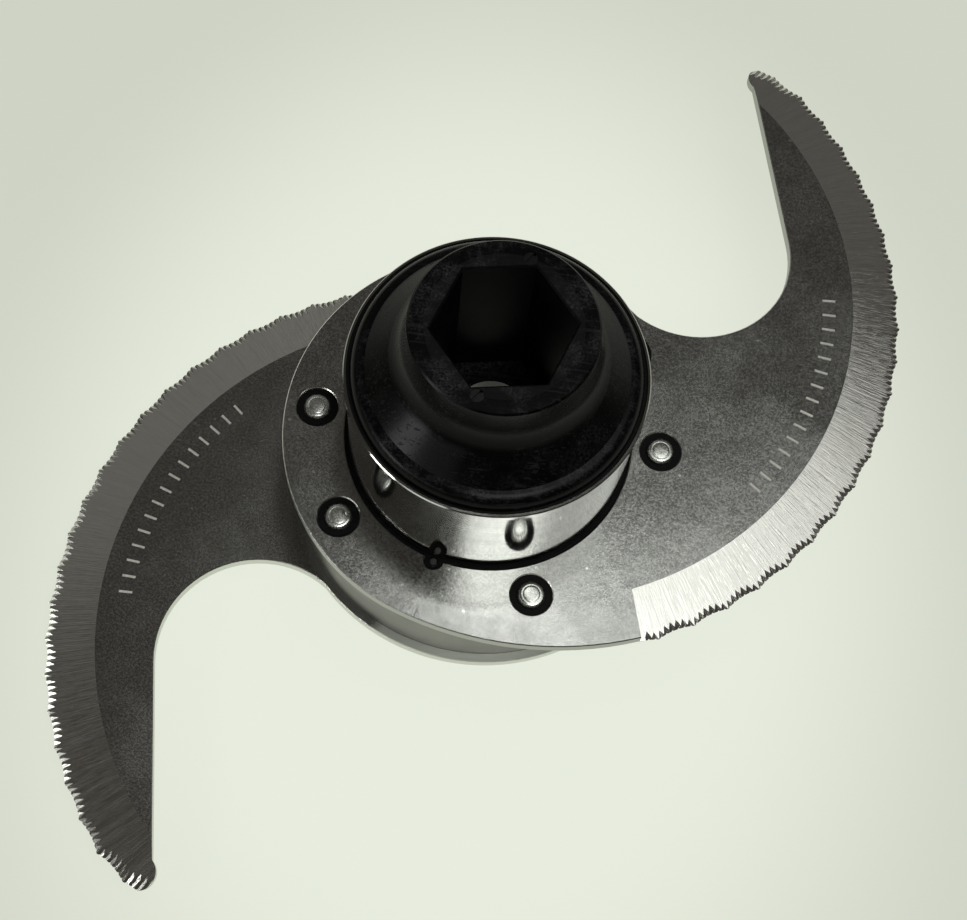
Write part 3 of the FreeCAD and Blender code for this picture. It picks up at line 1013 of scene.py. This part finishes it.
@dataclass(frozen=True)
class Studio:
    """Floor, lamps and world, in metres."""

    floor_tint: Colour = (0.855, 0.898, 0.782)
    corner_tint: Colour = (0.674, 0.704, 0.609)
    fade: Span = (0.045, 0.105)
    depth_share: float = 0.75
    own_light: float = 0.87
    world_tint: Colour = (0.048, 0.044, 0.038)
    floor_half: float = 3.0
    floor_place: Point = (0.0, -0.01, -0.0002)
    lamps: tuple[SoftLamp, ...] = LAMPS

    def floor_material(self) -> Material:
        """Pale floor that looks even and still takes the object's shadow.

        Returns:
            The floor's material.
        """
        material = bpy.data.materials.new("pale_floor")
        material.use_nodes = True
        tree = Tree(material.node_tree)
        place = tree.add("ShaderNodeTexCoord").outputs["Object"]
        away = tree.vector("LENGTH", tree.mapping(place, 0.0, (1.0, self.depth_share, 1.0)))
        colour = tree.mix(tree.steps(away, self.fade), self.floor_tint, self.corner_tint)
        matt = tree.add("ShaderNodeBsdfDiffuse")
        tree.feed(matt.inputs["Color"], colour)
        glow = tree.add("ShaderNodeEmission")
        tree.feed(glow.inputs["Color"], colour)
        glow.inputs["Strength"].default_value = 1.0
        path = tree.add("ShaderNodeLightPath")
        seen = tree.math("MAXIMUM", path.outputs["Is Camera Ray"], path.outputs["Is Glossy Ray"])
        seen = tree.math("MAXIMUM", seen, path.outputs["Is Transmission Ray"])
        share = tree.add("ShaderNodeMixShader")
        tree.feed(share.inputs[0], tree.times(seen, self.own_light))
        tree.feed(share.inputs[1], matt.outputs[0])
        tree.feed(share.inputs[2], glow.outputs[0])
        output = tree.add("ShaderNodeOutputMaterial")
        tree.feed(output.inputs["Surface"], share.outputs[0])
        return material

    def build_floor(self) -> None:
        """Makes the floor and puts it in the scene."""
        mesh = bmesh.new()
        bmesh.ops.create_grid(mesh, x_segments=1, y_segments=1, size=self.floor_half)
        data = bpy.data.meshes.new("floor")
        mesh.to_mesh(data)
        mesh.free()
        data.materials.append(self.floor_material())
        floor = bpy.data.objects.new("floor", data)
        floor.location = self.floor_place
        bpy.context.scene.collection.objects.link(floor)

    def build_world(self) -> None:
        """Makes the dim room round the lamps."""
        world = bpy.data.worlds.new("studio")
        world.use_nodes = True
        tree = Tree(world.node_tree)
        back = tree.add("ShaderNodeBackground")
        tree.feed(back.inputs["Color"], self.world_tint)
        back.inputs["Strength"].default_value = 1.0
        output = tree.add("ShaderNodeOutputWorld")
        tree.feed(output.inputs["Surface"], back.outputs[0])
        bpy.context.scene.world = world

    def build(self) -> None:
        """Makes the floor, the lamps and the world."""
        self.build_floor()
        for lamp in self.lamps:
            lamp.build()
        self.build_world()


# The object's sub-assemblies


def dress(nodes: Nodes, material: Material, *names: str) -> None:
    """Puts a material on CAD nodes.

    Args:
        nodes: the CAD nodes by name.
        material: the finish.
        names: the nodes' names.
    """
    for name in names:
        data = nodes[name].data
        if not data.materials:
            data.materials.append(material)
        for index in range(len(data.materials)):
            data.materials[index] = material
        LOG.info("node %s: %s", name, material.name)


class Side(Enum):
    """Which of the two blades a set of pieces belongs to."""

    UPPER = "upper"
    LOWER = "lower"


@dataclass(frozen=True)
class BladeSet:
    """One stamping with its marks, pins, bushes, locating pin and gap ring."""

    side: Side
    top: float
    turn: float
    wall: Colour = WALL_STEEL
    ledge_r: Optional[float] = None
    locator: Colour = (0.12, 0.12, 0.12)
    mark: Colour = (0.9, 0.88, 0.83)
    marks: StampedMarks = StampedMarks()

    def node(self, piece: str) -> str:
        """Returns the CAD node's name of one of this blade's pieces."""
        return f"{self.side.value}_{piece}"

    def build(self, nodes: Nodes, rubber: Material) -> None:
        """Dresses the nodes and adds the row of marks.

        Args:
            nodes: the CAD nodes by name.
            rubber: the black finish of bushes and gap ring.
        """
        steel = StampingFinish(self.node("blade_steel"), self.turn, self.wall, self.ledge_r)
        dress(nodes, steel.material(), self.node("blade"))
        heads = HeadFinish(self.node("pin_heads"), self.turn)
        dress(nodes, heads.material(), self.node("pins"))
        dark = SteelFinish(self.node("locator_steel"), self.locator, rough=0.3)
        dress(nodes, dark.material(), self.node("locator"))
        dress(nodes, rubber, self.node("bushes"), self.node("gap_ring"))
        bar = SteelFinish(self.node("mark_steel"), self.mark, rough=0.6).material()
        self.marks.build(self.node("marks"), self.node("blade"), self.top, self.turn, bar)


@dataclass(frozen=True)
class HubSet:
    """The moulded hub with its drive insert, keys, seal and polished collar."""

    moulding: MouldedFinish = MouldedFinish(
        "hub_moulding", (0.0025, 0.0023, 0.0028), (0.12, 0.118, 0.124), rough=0.25, sheen=0.11,
        scuffs=0.55, hairlines=0.05, wall_dust=0.1)
    insert: MouldedFinish = MouldedFinish(
        "insert_black", (0.009, 0.009, 0.0095), (0.11, 0.11, 0.115), rough=0.4, sheen=0.03,
        scuffs=0.75, hairlines=0.03, wall_dust=0.03)
    keys: SteelFinish = SteelFinish("key_steel", (0.03, 0.03, 0.03), rough=0.35)
    collar: SteelFinish = SteelFinish("collar_polish", (0.47, 0.47, 0.455), rough=0.08,
                                      grain=0.2, rings=True)

    def build(self, nodes: Nodes, rubber: Material) -> None:
        """Dresses the nodes.

        Args:
            nodes: the CAD nodes by name.
            rubber: the black finish of the seal.
        """
        dress(nodes, self.moulding.material(), "hub")
        dress(nodes, self.insert.material(), "drive_insert")
        dress(nodes, self.keys.material(), "insert_keys")
        dress(nodes, rubber, "top_seal")
        dress(nodes, self.collar.material(), "collar")


@dataclass(frozen=True)
class SpacerSet:
    """The drum between the blades: band, core and ring nut."""

    # The band's tint is darkened below the other steels to stand for the shadowed floor it
    # mirrors: painted shade.
    band: SteelFinish = SteelFinish("band_steel_painted_shade", (0.27, 0.265, 0.25), rough=0.42, rings=True)
    core: SteelFinish = SteelFinish("core_alloy", (0.66, 0.66, 0.68), rough=0.35, rings=True)
    nut: SteelFinish = SteelFinish("nut_steel", (0.5, 0.49, 0.48), rough=0.3, rings=True)

    def build(self, nodes: Nodes) -> None:
        """Dresses the nodes.

        Args:
            nodes: the CAD nodes by name.
        """
        dress(nodes, self.band.material(), "spacer_band")
        dress(nodes, self.core.material(), "spacer_core")
        dress(nodes, self.nut.material(), "ring_nut")


RUBBER = MouldedFinish("seal_rubber", (0.004, 0.004, 0.004), (0.03, 0.03, 0.03), rough=0.5,
                       sheen=0.08, scuffs=0.2)
# Paler wall colour of the lower stamping, for its walls and free ledge: painted light.
PALE_WALL_PAINTED_LIGHT: Colour = (0.70, 0.71, 0.66)


def main() -> None:
    """Loads the frame, dresses it and sets the studio."""
    logging.basicConfig(level=logging.INFO)
    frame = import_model()
    nodes = frame["nodes"]

    rubber = RUBBER.material()
    upper = BladeSet(Side.UPPER, STACK.upper_top, turn=0.0)
    # the lower stamping's walls and ledge are painted paler than the upper's, as light
    lower = BladeSet(Side.LOWER, STACK.lower_top, turn=STACK.lower_turn, wall=PALE_WALL_PAINTED_LIGHT,
                     ledge_r=STACK.band_r)
    for blade in (upper, lower):
        blade.build(nodes, rubber)
    HubSet().build(nodes, rubber)
    SpacerSet().build(nodes)

    Studio().build()
    PhotoCamera().build()
    bpy.context.scene.view_settings.view_transform = "Standard"


if __name__ == "__main__":
    main()
